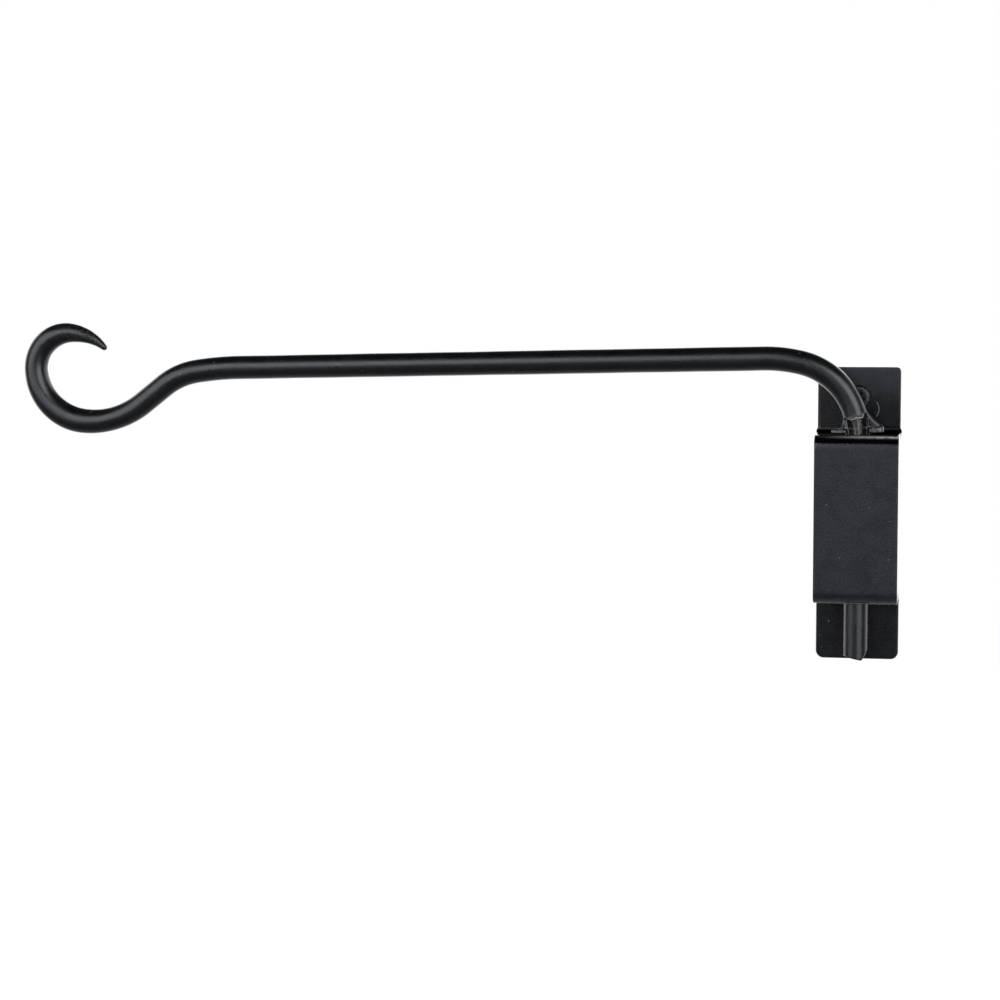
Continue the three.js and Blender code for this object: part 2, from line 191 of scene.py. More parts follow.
# ---- sheared lower end of the pin ----
SHEAR_SLOPE = math.radians(12.0)
CORNER_SLOPE = math.radians(62.0)
CORNER_HEIGHT = 4.6 * MM
SHEAR_CREASE = 0.25 * MM
SHEAR_ROUND = 0.5 * MM
SHEAR_REACH = 7.0 * MM
SHEAR_RINGS = 24
PIN_END_RINGS = (0.25, 0.5, 0.75, 0.9)
pin_bottom = LOWER_FLANGE_Z - PIN_BELOW_FLANGE

# ---- unevenness left by drawing and forging ----
ROD_WANDER = 0.02 * MM
WANDER_WAVES = (11.0 * MM, 4.3 * MM)
WANDER_TWISTS = (1.5, 2.0)
FORGE_DENT = 0.05 * MM
DENT_WAVES = (0.9 * MM, 1.7 * MM)
DENT_TWISTS = (3.0, 5.0)
FORGE_LENGTH = 26.0 * MM
FORGE_DENT_FULL = 0.3 * FORGE_LENGTH
FORGE_WEAR_FULL = 0.2 * FORGE_LENGTH
FORGE_WEAR = 0.35
RUB_MARKS = (LUG_BAR_TOP, PINCH_TOP + PINCH_LEDGE)
RUB_HALF = 0.5 * MM

# ---- screws ----
HEAD_RADIUS = 4.6 * MM
HEAD_HEIGHT = 2.8 * MM
HEAD_RIM = 0.9 * MM
HEAD_EDGE = 0.15 * MM
DOME_POWER = 0.3
DOME_START = 0.06
DOME_RINGS = 18
# A painted highlight ring on the screw head's shoulder.
HEAD_HIGHLIGHT_RING = (0.8, 0.88)
HEAD_SIDES = 96
HEAD_SEAT_GAP = 0.02 * MM
SHANK_RADIUS = 2.4 * MM
SHANK_OVERLAP = 0.4 * HEAD_RIM
CORE_RADIUS = 1.7 * MM
SCREW_LENGTH = 32.0 * MM
PLAIN_LENGTH = 8.0 * MM
PLAIN_RINGS = 5
POINT_LENGTH = 6.0 * MM
THREAD_PITCH = 2.2 * MM
THREAD_FLANK = 0.3
THREAD_ROWS = 14
SHANK_SIDES = 48
RECESS_HALF = 2.3 * MM
SLOT_HALF = 0.6 * MM
RECESS_DEPTH = 1.8 * MM
RECESS_TAPER = 0.5
RECESS_MOUTH, RECESS_POINT = 1.15, 1.15
SHARP_ANGLE = math.radians(40.0)
SCREW_TURNS = {"upper": math.radians(24.0), "lower": math.radians(61.0)}
head_crown = head_low.y + THICKNESS

# ---- camera: the photograph's viewing angle ----
CAMERA_AZIMUTH = math.radians(10.467)
CAMERA_ELEVATION = math.radians(4.77)
CAMERA_ROLL = math.radians(-0.067)
CAMERA_DISTANCE = 1.0
CAMERA_AIM = Vector((-0.13998, -0.0152, 0.00433))
CAMERA_LENS_MM = 90.98

# ---- paint ----
# Noises: size, detail, roughness, distortion.
BLOTCHES = (9.0 * MM, 4.0, 0.55, 0.8)
PATCHES = (26.0 * MM, 2.0, 0.55, 0.6)
CHIPS = (1.3 * MM, 4.0, 0.7)
STREAKS = (3.0 * MM, 3.0, 0.7)
NOISE_ROUGH = 0.55
PEEL_DETAIL = 2.0
FINEST_SHARE = 0.3
FINEST_ROUGH = 0.7
# Spans: the two ends of a noise, and what they become if that is not 0 and 1.
PATCH_SPAN = (0.38, 0.66)
BLOTCH_DARK = (0.5, 0.28, 0.0, 0.4)
PEEL_DARK = (0.5, 0.3, 0.0, 0.7)
PEEL_LIGHT = (0.5, 0.7, 0.0, 0.7)
STREAK_SPAN = (0.3, 0.5, 0.3, 1.0)
GLOSS_SPAN = (0.3, 0.7)
FINEST_GLOSS = (-0.04, 0.06)
DARKER, LIGHTER = 0.5, 1.9
BARE_FROM, BARE_SPREAD, BARE_FULL = 0.62, 0.3, 0.66
# Bumps: strength, depth.
PEEL_BUMP = (0.7, 0.07 * MM)
SKIN_BUMP = (0.3, 0.008 * MM)
LUMP_BUMP = (0.4, 0.08 * MM)
DENT_BUMP = (0.6, 0.12 * MM)
# Dust: its specks, how much of a speck is solid, what it covers and how dull it is.
DUST_SPACING = 4.0 * MM
DUST_RADIUS = 0.26 * MM
DUST_SHARE = 0.6
SPECK_CORE = 0.6
DUST_COVER = 0.8
DUST_DULL = 0.2
DUST_COLOR = (0.2, 0.2, 0.19)
# The share of the roughness that is left at a grazing angle and under the painted shade.
RIM_FACING = (0.3, 0.65)
RIM_GLOSS = 0.35
SHADE_GLOSS = 0.3
# Colours of the painted shade and of the painted highlight lines.
SHADE_COLOR = (0.001, 0.001, 0.0012)
SHINE_COLOR = (0.82, 0.78, 0.69)
# The scratch and the chip, placed by X and Z on the tabs' front.
MARK_COLOR = (0.2, 0.2, 0.19)
SCRATCH_AT = (3.0 * MM, 40.8 * MM)
SCRATCH_RADIUS = 4.6 * MM
SCRATCH_REACH = 3.3 * MM
SCRATCH_FULL = 0.7 * SCRATCH_REACH
SCRATCH_HALF = 0.18 * MM
SCRATCH_CORE = 0.4 * SCRATCH_HALF
CHIP_AT = (-11.0 * MM, -42.5 * MM)
CHIP_RADIUS = 0.45 * MM
CHIP_CORE = 0.5 * CHIP_RADIUS
TAB_FRONT = (-1.1 * THICKNESS, -0.9 * THICKNESS)

# ---- the studio: radiances by direction, the lamps and the floor ----
WHITE = (1.0, 1.0, 1.0, 1.0)
ROOM_FRONT = 0.06
ROOM_BEHIND = 1.9
BACKDROP_FADE = (0.0, 0.45)
CEILING_FADE = (0.42, 0.7)
CEILING_SHARE = 0.03
LAMP_COLOR = (0.965, 0.99, 1.06)
LAMP_AIM = Vector((-0.1, 0.0, 0.02))
LAMP_DISTANCE = 2.0
# Azimuths and elevations in degrees, radiance.
SOFTBOXES = {
    "softbox_left": ((-68.0, -25.0), (-16.0, 38.0), 2.3),
    "softbox_right": ((17.0, 60.0), (-16.0, 38.0), 3.4),
    "softbox_above": ((-25.0, -2.0), (1.0, 38.0), 2.6),
}
FLOOR_Z = -0.3
FLOOR_HALF = 2.5
FLOOR_FADE = (0.35 * FLOOR_HALF, 0.8 * FLOOR_HALF)
FLOOR_COLOR = (0.6, 0.6, 0.6)
FLOOR_LIFT = 0.82
BOUNCE_NEAR, BOUNCE_FAR = 0.16, 0.6
BOUNCE_FADE = (-0.15, 0.15)
GLOW_FADE = (0.1, 0.6)


# ---- mesh helpers ----
def rise(low, high, value):
    """0 below low, 1 above high and smooth between them, for numbers and arrays."""
    share = np.clip((value - low) / (high - low), 0.0, 1.0)
    return share * share * (3.0 - 2.0 * share)


def hump(offset, half):
    """A bell curve: 1 at offset 0, and about a third at half to each side."""
    return np.exp(-(offset / half) ** 2)


def put_object(name, data):
    """A new object in the scene."""
    made = bpy.data.objects.new(name, data)
    bpy.context.scene.collection.objects.link(made)
    return made


def mesh_object(name, points, faces, worn=None, grimy=None, bright=None):
    """A mesh object from arrays, smooth shaded, with its normals pointing out.

    worn marks paint wear and the screw heads' painted highlight ring, grimy marks painted shade, and bright
    marks painted highlight lines, all from 0 to 1."""
    mesh = bpy.data.meshes.new(name)
    mesh.from_pydata([tuple(p) for p in points], [], [tuple(int(i) for i in f) for f in faces])
    for label, shares in (("worn", worn), ("grimy", grimy), ("bright", bright)):
        if shares is not None:
            layer = mesh.attributes.new(label, "FLOAT", "POINT")
            layer.data.foreach_set("value", [float(share) for share in shares])
    mesh.validate()
    work = bmesh.new()
    work.from_mesh(mesh)
    bmesh.ops.remove_doubles(work, verts=work.verts, dist=WELD_DISTANCE)
    bmesh.ops.recalc_face_normals(work, faces=work.faces)
    work.to_mesh(mesh)
    work.free()
    mesh.shade_smooth()
    return put_object(name, mesh)


def ring_faces(ring_count, sides):
    """Quads between neighbouring rings of the same number of points, and a fan to a tip at each end."""
    faces = []
    for ring in range(ring_count - 1):
        for side in range(sides):
            after = (side + 1) % sides
            faces.append((ring * sides + side, ring * sides + after,
                          (ring + 1) * sides + after, (ring + 1) * sides + side))
    first_tip = ring_count * sides
    last = (ring_count - 1) * sides
    for side in range(sides):
        after = (side + 1) % sides
        faces.append((first_tip, after, side))
        faces.append((first_tip + 1, last + side, last + after))
    return faces


def combine(piece, other, operation):
    """Joins another closed mesh to a piece, or cuts it away, and removes the other one."""
    step = piece.modifiers.new("combine", "BOOLEAN")
    step.operation = operation
    step.solver = "EXACT"
    step.object = other
    bpy.context.view_layer.update()
    evaluated = piece.evaluated_get(bpy.context.evaluated_depsgraph_get())
    mesh = bpy.data.meshes.new_from_object(evaluated)
    piece.modifiers.clear()
    piece.data = mesh
    bpy.data.objects.remove(other)


# ---- strap ----
class StrapPath:
    """The strap's middle line in the YZ plane, from the upper tab's end down to the lower tab's end."""

    def __init__(self):
        self.bend = INNER_BEND + THICKNESS / 2
        outer = INNER_BEND + THICKNESS
        upper_tab = tab_end_z - UPPER_FLANGE_Z - INNER_BEND
        lower_tab = tab_end_z + LOWER_FLANGE_Z - INNER_BEND
        flange = strap_depth - THICKNESS - INNER_BEND - outer
        front = UPPER_FLANGE_Z - LOWER_FLANGE_Z - 2 * outer
        quarter = math.pi / 2
        self.parts = [
            ("run", upper_tab), ("arc", -quarter), ("run", flange), ("arc", quarter), ("run", front),
            ("arc", quarter), ("run", flange), ("arc", -quarter), ("run", lower_tab),
        ]
        self.lengths = [size if kind == "run" else abs(size) * self.bend for kind, size in self.parts]
        self.starts = np.concatenate([[0.0], np.cumsum(self.lengths)])

    def frame_at(self, along):
        """Point, heading (0 down, -90 degrees towards -Y) and bend at a length along the path.

        The bend is 0 on a run and 1 or -1 in the middle of an arc."""
        y, z, heading = -THICKNESS / 2, tab_end_z, 0.0
        for (kind, size), length, start in zip(self.parts, self.lengths, self.starts):
            here = min(max(along - start, 0.0), length)
            if kind == "run":
                y += here * math.sin(heading)
                z -= here * math.cos(heading)
                bend = 0.0
            else:
                side = math.copysign(self.bend, size)
                turned = heading + size * here / length
                y += side * (math.cos(heading) - math.cos(turned))
                z -= side * (math.sin(turned) - math.sin(heading))
                heading = turned
                bend = math.copysign(math.sin(math.pi * here / length), size)
            if along <= start + length:
                break
        return y, z, heading, bend


def plate_lines(path):
    """Lengths along the strap where its cells end, and the centres and radii of its holes."""
    tab_hole = tab_end_z - screw_z
    from_bend = -pivot_y - THICKNESS - INNER_BEND
    upper_flange_start, lower_flange_end = path.starts[2], path.starts[7]
    total = path.starts[-1]
    holes = [
        (tab_hole, SCREW_HOLE), (upper_flange_start + from_bend, PIVOT_HOLE),
        (lower_flange_end - from_bend, PIVOT_HOLE), (total - tab_hole, SCREW_HOLE),
    ]
    arcs = [(path.starts[i], path.starts[i + 1]) for i, part in enumerate(path.parts) if part[0] == "arc"]
    patches = [(centre - PATCH_HALF, centre + PATCH_HALF) for centre, _ in holes]
    stops = [EDGE_ROUND, *path.starts[1:-1], total - EDGE_ROUND]
    stops = sorted(stops + [stop for patch in patches for stop in patch])
    lines = [stops[0]]
    for low, high in zip(stops, stops[1:]):
        middle = (low + high) / 2
        if any(start < middle < end for start, end in arcs):
            count = BEND_STEPS
        elif any(start < middle < end for start, end in patches):
            count = PATCH_CELLS
        else:
            count = max(1, math.ceil((high - low) / PLATE_STEP))
        lines += list(np.linspace(low, high, count + 1)[1:])
    return lines, holes


def round_corner(u, w, total):
    """Moves a flat plate point so that the plate's four square corners become quarter circles."""
    top = u < total / 2
    radius = (TOP_CORNER if top else BOTTOM_CORNER) - EDGE_ROUND
    end = EDGE_ROUND if top else total - EDGE_ROUND
    inward = 1.0 if top else -1.0
    side = math.copysign(1.0, w)
    to_end = (end + inward * radius - u) * inward / radius
    to_side = (abs(w) - (strap_half - EDGE_ROUND - radius)) / radius
    if to_end <= 0.0 or to_side <= 0.0:
        return u, w
    to_end, to_side = min(to_end, 1.0), min(to_side, 1.0)
    bent_end = to_end * math.sqrt(1.0 - to_side ** 2 / 2)
    bent_side = to_side * math.sqrt(1.0 - to_end ** 2 / 2)
    return (end + inward * radius * (1.0 - bent_end),
            side * (strap_half - EDGE_ROUND - radius * (1.0 - bent_side)))


def around(low, high, first, last):
    """The crossings of lines around a block of cells, from row low to high and column first to last."""
    return ([(low, c) for c in range(first, last)] + [(r, last) for r in range(low, high)]
            + [(high, c) for c in range(last, first, -1)] + [(r, first) for r in range(high, low, -1)])


def flat_plate(path):
    """The strap unrolled: its points (u along, w across), quads, and border loops with their outward
    directions."""
    lines, holes = plate_lines(path)
    total = path.starts[-1]
    half = strap_half - EDGE_ROUND
    side_cells = math.ceil((half - PATCH_HALF) / PLATE_STEP)
    across = list(np.linspace(-half, -PATCH_HALF, side_cells + 1))
    across += list(np.linspace(-PATCH_HALF, PATCH_HALF, PATCH_CELLS + 1)[1:])
    across += list(np.linspace(PATCH_HALF, half, side_cells + 1)[1:])
    points, quads, grid = [], [], {}
    first, last = side_cells, side_cells + PATCH_CELLS

    def in_patch(row, column):
        """Whether this cell lies in the square patch around a hole."""
        middle = (lines[row] + lines[row + 1]) / 2
        return first <= column < last and any(abs(middle - centre) < PATCH_HALF for centre, _ in holes)

    def vertex(row, column):
        """The number of this crossing's point, made when first asked for."""
        if (row, column) not in grid:
            grid[row, column] = len(points)
            points.append(round_corner(lines[row], across[column], total))
        return grid[row, column]

    rows, columns = len(lines) - 1, len(across) - 1
    for row in range(rows):
        for column in range(columns):
            if not in_patch(row, column):
                quads.append((vertex(row, column), vertex(row, column + 1),
                              vertex(row + 1, column + 1), vertex(row + 1, column)))
    loops = [[vertex(r, c) for r, c in around(0, rows, 0, columns)]]
    shares = 1.0 - (1.0 - np.linspace(0.0, 1.0, PATCH_RINGS + 1)[1:]) ** PATCH_CROWDING
    for centre, radius in holes:
        middle = np.array([centre, 0.0])
        low = int(np.argmin([abs(line - (centre - PATCH_HALF)) for line in lines]))
        ring = [vertex(r, c) for r, c in around(low, low + PATCH_CELLS, first, last)]
        outer = [np.array(points[i]) for i in ring]
        for share in shares:
            after = []
            for spot in outer:
                spoke = spot - middle
                on_circle = middle + spoke / np.linalg.norm(spoke) * (radius + EDGE_ROUND)
                after.append(len(points))
                points.append(tuple(spot + (on_circle - spot) * share))
            for i in range(len(ring)):
                j = (i + 1) % len(ring)
                quads.append((ring[i], after[i], after[j], ring[j]))
            ring = after
        loops.append(ring)
    outwards = [[outward_at(points[i], total) for i in loops[0]]]
    for (centre, _), loop in zip(holes, loops[1:]):
        spokes = [np.array([centre, 0.0]) - np.array(points[i]) for i in loop]
        outwards.append([spoke / np.linalg.norm(spoke) for spoke in spokes])
    return points, quads, loops, outwards


def outward_at(point, total):
    """Outward direction of the plate's border at one of its points."""
    u, w = point
    top = u < total / 2
    radius = (TOP_CORNER if top else BOTTOM_CORNER) - EDGE_ROUND
    straight = strap_half - EDGE_ROUND - radius
    nearest_u = min(max(u, TOP_CORNER), total - BOTTOM_CORNER)
    nearest_w = min(max(w, -straight), straight)
    away = np.array([u - nearest_u, w - nearest_w])
    if np.linalg.norm(away) < NO_DISTANCE:
        return np.array([0.0, math.copysign(1.0, w)])
    return away / np.linalg.norm(away)


def bent_point(path, u, w, lift):
    """A point of the plate, lift off its middle surface towards its front, bent to the strap's shape."""
    y, z, heading, bend = path.frame_at(u)
    inner = lift / (THICKNESS / 2) * -bend
    near_edge = rise(strap_half - BULGE_REACH, strap_half, abs(w))
    upper_tab = bend < 0.0 and u < path.starts[-1] / 2
    bulge = (UPPER_TAB_BULGE if upper_tab else BEND_BULGE) * max(inner, SHRINK_SHARE * inner)
    wide = w + math.copysign(bulge * near_edge, w)
    return (wide, y - lift * math.cos(heading), z - lift * math.sin(heading))


def painted_corner_shade(path, u):
    """Painted shade, kept glossy, from the upper tab's corner to the end of the front bend, standing for the
    shade under the flange and the bend's dark reflection, and some painted shade on both tabs.
    """
    tab_end, bend_end, lower_tab = path.starts[1], path.starts[4], path.starts[8]
    rise_from, rise_to = (share * tab_end for share in UPPER_SHADE_RISE)
    above_front = 1.0 - rise(bend_end - SHADE_FADE, bend_end, u)
    corner = rise(tab_end - SHADE_FADE, tab_end, u) * above_front
    upper = UPPER_TAB_SHADE * rise(rise_from, rise_to, u) * above_front
    lower = LOWER_TAB_SHADE * rise(lower_tab - SHADE_FADE, lower_tab, u)
    return max(corner, upper, lower)


def painted_bend_highlight(path, u, w):
    """Painted highlight lines: one along the foot of the lower front bend, with a faint painted glow above
    it, and a weaker one on the upper front bend that fades to the left."""
    bend_start, bend_foot = path.starts[3], path.starts[6]
    to_the_right = UPPER_SHINE * rise(-strap_half, strap_half, w)
    upper = to_the_right * hump(u - bend_start - UPPER_SHINE_AT, UPPER_SHINE_HALF)
    lower = hump(u - bend_foot + LOWER_SHINE_AT, LOWER_SHINE_HALF)
    glow = LOWER_GLOW * hump(u - bend_foot + LOWER_GLOW_AT, LOWER_GLOW_HALF)
    return upper + max(lower, glow)


def bridge(first, second):
    """Quads between two closed loops of the same number of points."""
    count = len(first)
    return [(first[i], first[(i + 1) % count], second[(i + 1) % count], second[i]) for i in range(count)]


def wall_bracket():
    """The strap: its front and back bent from the plate, joined by rounded edges around it and its holes."""
    path = StrapPath()
    flat, quads, loops, outwards = flat_plate(path)
    half = THICKNESS / 2
    count = len(flat)
    points = [bent_point(path, u, w, lift) for lift in (half, -half) for u, w in flat]
    faces = [tuple(reversed(q)) for q in quads] + [tuple(i + count for i in q) for q in quads]
    angles = np.linspace(0.0, math.pi / 2, EDGE_STEPS + 1)[1:]
    levels = [(EDGE_ROUND * math.sin(a), half - EDGE_ROUND * (1.0 - math.cos(a))) for a in angles]
    levels += [(out, -lift) for out, lift in reversed(levels)]
    for loop, outward in zip(loops, outwards):
        ring = loop
        for out, lift in levels:
            after = []
            for i, direction in zip(loop, outward):
                u, w = np.array(flat[i]) + direction * out
                after.append(len(points))
                points.append(bent_point(path, u, w, lift))
            faces += bridge(ring, after)
            ring = after
        faces += bridge(ring, [i + count for i in loop])
    edge_count = len(points) - 2 * count
    worn = [0.0] * (2 * count) + [1.0] * edge_count
    grimy = [painted_corner_shade(path, u) for u, w in flat] + [0.0] * (count + edge_count)
    bright = [painted_bend_highlight(path, u, w) for u, w in flat] + [0.0] * (count + edge_count)
    return mesh_object("bent_strap", points, faces, worn, grimy, bright)


# ---- rod ----
def trace_route(start, moves):
    """Stations (x, z, heading, along) in the XZ plane from straight runs and tangent arcs."""
    stations = [(*start, 0.0)]
    for kind, size, *turn in moves:
        x, z, heading, along = stations[-1]
        length = size if kind == "run" else size * abs(turn[0])
        step = RUN_STEP if kind == "run" else ARC_STEP
        count = max(1, math.ceil(length / step))
        for k in range(1, count + 1):
            share = k / count
            if kind == "run":
                turned = heading
                shift_x, shift_z = size * share * math.cos(heading), size * share * math.sin(heading)
            else:
                side = math.copysign(size, turn[0])
                turned = heading + turn[0] * share
                shift_x = side * (math.sin(turned) - math.sin(heading))
                shift_z = -side * (math.cos(turned) - math.cos(heading))
            stations.append((x + shift_x, z + shift_z, turned, along + length * share))
    return stations


def rod_stations():
    """The rod's middle line from the pin's lower end to the hook's point.

    With it come the lengths along it of the top flange and of the hook's seat."""
    up = math.pi / 2
    start = (0.0, pin_bottom, up)
    pin_run = UPPER_FLANGE_Z - pin_bottom
    to_arm = [("run", pin_run), ("arc", BEND_RADIUS, BEND_ANGLE),
              ("arc", EASE_RADIUS, up + ARM_DROOP - BEND_ANGLE)]
    bend_end = trace_route(start, to_arm)[-1]
    seat = trace_route((0.0, 0.0, bend_end[2]), MOVES_TO_SEAT)[-1]
    arm_run = (bend_end[0] + ARM_REACH + seat[0]) / -math.cos(bend_end[2])
    to_seat = to_arm + [("run", arm_run)] + MOVES_TO_SEAT
    seat_along = trace_route(start, to_seat)[-1][3]
    stations = trace_route(start, to_seat + MOVES_TO_POINT)
    dense_from, dense_to = pin_run + PINCH_BOTTOM - PINCH_LEDGE, pin_run + LUG_TOP + PINCH_LEDGE
    dense = []
    for along in np.arange(dense_from, dense_to, PINCH_STEP):
        angle = max(0.0, along - pin_run) / BEND_RADIUS
        dense.append((-BEND_RADIUS * (1.0 - math.cos(angle)),
                      pin_bottom + min(along, pin_run) + BEND_RADIUS * math.sin(angle), up + angle, along))
    kept = [s for s in stations[1:] if SHEAR_REACH + PINCH_STEP < s[3] < dense_from - PINCH_STEP
            or s[3] > dense_to + PINCH_STEP]
    sheared = [(0.0, pin_bottom + along, up, along) for along in np.linspace(0.0, SHEAR_REACH, SHEAR_RINGS)]
    return sheared + sorted(kept + dense, key=lambda station: station[3]), pin_run, seat_along


def lug_reach(height):
    """How far the rod reaches to each side at a height above the flange: its radius, or the lug's edge."""
    if height < LUG_BOTTOM or height > LUG_TOP:
        return ROD_RADIUS
    share = max(0.0, height - LUG_FLARE_START) / (LUG_TOP - LUG_FLARE_START)
    flare = ROD_RADIUS + (LUG_REACH + LUG_ROUND - ROD_RADIUS) * (1.0 - share) ** LUG_FLARE_POWER
    lower = LUG_ROUND - min(height - LUG_BOTTOM, LUG_ROUND)
    corner = LUG_REACH - LUG_ROUND + math.sqrt(max(0.0, LUG_ROUND ** 2 - lower ** 2))
    return max(ROD_RADIUS, min(flare, corner))


def pinch_top(x):
    """The uneven height where the dies' mark ends, at each sideways place x."""
    sides = rise(*LEDGE_SPAN, np.abs(x))
    waves = np.sin(x / ZIGZAG_LONG + ZIGZAG_SHIFT) + ZIGZAG_SHARE * np.sin(x / ZIGZAG_SHORT)
    return PINCH_TOP + LEDGE_RISE * sides + LEDGE_ZIGZAG * waves


def ridge_half_width(height):
    """Half the width of the ridge that stands between the two pockets."""
    up_the_pinch = min(1.0, max(0.0, (height - PINCH_BOTTOM) / (PINCH_TOP - PINCH_BOTTOM)))
    return RIDGE_HALF + RIDGE_FLARE * up_the_pinch ** RIDGE_POWER


def pinch_paint(x, height):
    """Painted shade in the pockets, and painted highlights along the edges of the ledge, the ridge and the
    lugs' bars.
    """
    from_axis = np.abs(x)
    top, half = pinch_top(x), ridge_half_width(height)
    below_top = 1.0 - rise(top, top + PINCH_LEDGE, height)
    inside = float(rise(PINCH_BOTTOM, LUG_BOTTOM, height)) * below_top
    beside = rise(half, half + RIDGE_WALL, from_axis)
    on_lug = rise(ROD_RADIUS, LUG_PAINT_FULL, from_axis)
    bar = float(LUG_BOTTOM <= height <= LUG_BAR_TOP)
    dark = POCKET_SHADE * inside * beside * (1.0 - on_lug)
    ledge = LEDGE_SHINE * hump(height - top - PINCH_LEDGE, LEDGE_SHINE_HALF)
    ledge = ledge * (from_axis < LEDGE_REACH)
    ridge = RIDGE_SHINE * hump(from_axis - half, RIDGE_SHINE_HALF) * inside
    return dark, ledge + ridge + BAR_SHINE * on_lug * bar


def pinched_depth(x, height, reach):
    """Half the rod's depth at each sideways place x, where the dies have pressed it."""
    round_depth = np.sqrt(np.maximum(ROD_RADIUS ** 2 - x ** 2, 0.0))
    from_axis = np.abs(x)
    bar = 1.0 - rise(LUG_BOTTOM + LUG_BAR_FADE[0], LUG_BOTTOM + LUG_BAR_FADE[1], height)
    web = LUG_WEB_HALF + (LUG_BAR_HALF - LUG_WEB_HALF) * bar
    up_the_wall = rise(POCKET_REACH, ROD_RADIUS, from_axis)
    pocket = POCKET_HALF + (web - POCKET_HALF) * up_the_wall
    end_round = np.clip(1.0 - (from_axis / reach) ** LUG_SQUARENESS, 0.0, 1.0) ** 0.5
    pressed = pocket * end_round
    crown = ROD_RADIUS - RIDGE_SINK - RIDGE_CROWN
    crown = crown + np.sqrt(np.maximum(RIDGE_CROWN ** 2 - x ** 2, 0.0))
    ridge_half = ridge_half_width(height)
    ridge = 1.0 - rise(ridge_half, ridge_half + RIDGE_WALL, from_axis)
    pressed = pressed + (np.minimum(crown, round_depth) - pressed) * ridge
    top = pinch_top(x)
    lip = LEDGE_LIP * hump(height - top - LEDGE_LIP_AT, PINCH_LEDGE)
    round_depth = round_depth + lip * (from_axis < ROD_RADIUS)
    above = rise(top, top + PINCH_LEDGE, height)
    below = 1.0 - rise(PINCH_BOTTOM - PINCH_LEDGE, PINCH_BOTTOM, height)
    whole = np.maximum(above, below)
    if LUG_BOTTOM <= height <= LUG_TOP:
        swollen = reach * np.sqrt(np.maximum(1.0 - (x / reach) ** 2, 0.0))
        swollen = np.minimum(swollen, np.maximum(round_depth, web * end_round))
        return pressed + (swollen - pressed) * whole
    return pressed + (round_depth - pressed) * whole


def in_pinch(height):
    """Whether a height above the top flange lies in the part of the rod that the dies have shaped."""
    return PINCH_BOTTOM - PINCH_LEDGE <= height <= LUG_TOP + PINCH_LEDGE


def rod_ring(height, radius, turns):
    """One ring of the rod as (sideways, depth) pairs. Height is above the top flange, along the rod."""
    if not in_pinch(height):
        return radius * np.cos(turns), radius * np.sin(turns)
    reach = lug_reach(height)
    share = np.cos(turns)
    outer = np.clip((np.abs(share) - ROUND_SHARE) / (1.0 - ROUND_SHARE), 0.0, 1.0)
    above_bar = float(rise(LUG_BAR_TOP, LUG_BAR_TOP + LUG_BAR_HEIGHT, height))
    flare = np.where(share < 0.0, 1.0 - above_bar * (1.0 - ARM_SIDE_FLARE), 1.0) * (reach - ROD_RADIUS)
    x = ROD_RADIUS * share + np.sign(share) * flare * outer ** 2
    x = np.clip(x, -reach, reach)
    return x, np.sign(np.sin(turns)) * pinched_depth(x, height, reach)


def sheared_height(x):
    """Height of the pin's sheared end above its lowest possible point, at a sideways place x."""
    slope = (ROD_RADIUS - x) * math.tan(SHEAR_SLOPE)
    corner = CORNER_HEIGHT + (x - ROD_RADIUS) * math.tan(CORNER_SLOPE)
    return np.logaddexp(slope / SHEAR_CREASE, corner / SHEAR_CREASE) * SHEAR_CREASE


def hammered(along, to_tip, turns):
    """Unevenness of the rod's radius: a slow wander along the arm, and forging dents towards the point."""
    forged = float(1.0 - rise(FORGE_DENT_FULL, FORGE_LENGTH, to_tip))
    slow = np.sin(along / WANDER_WAVES[0] + WANDER_TWISTS[0] * np.sin(turns))
    slow = slow + np.sin(along / WANDER_WAVES[1] + WANDER_TWISTS[1] * np.cos(turns))
    quick = np.sin(along / DENT_WAVES[0] + DENT_TWISTS[0] * np.sin(2.0 * turns))
    quick = quick * np.sin(along / DENT_WAVES[1] + DENT_TWISTS[1] * turns)
    return ROD_WANDER * slow + FORGE_DENT * forged * (quick + slow)


def ring_at(x, z, heading, sideways, depth):
    """A ring of points about a place on the rod's middle line."""
    return np.stack([x + sideways * math.sin(heading), pivot_y + depth, z - sideways * math.cos(heading)],
                    axis=-1)


def rod_radius(along, to_tip, flange, turns):
    """The rod's radius about its middle line: tapered towards the point, and uneven above the lugs."""
    taper = math.sin(math.pi / 2 * min(1.0, to_tip / TAPER_LENGTH))
    radius = TIP_RADIUS + (ROD_RADIUS - TIP_RADIUS) * taper
    return radius + hammered(along, to_tip, turns) * rise(flange + LUG_TOP, flange + 2 * LUG_TOP, along)


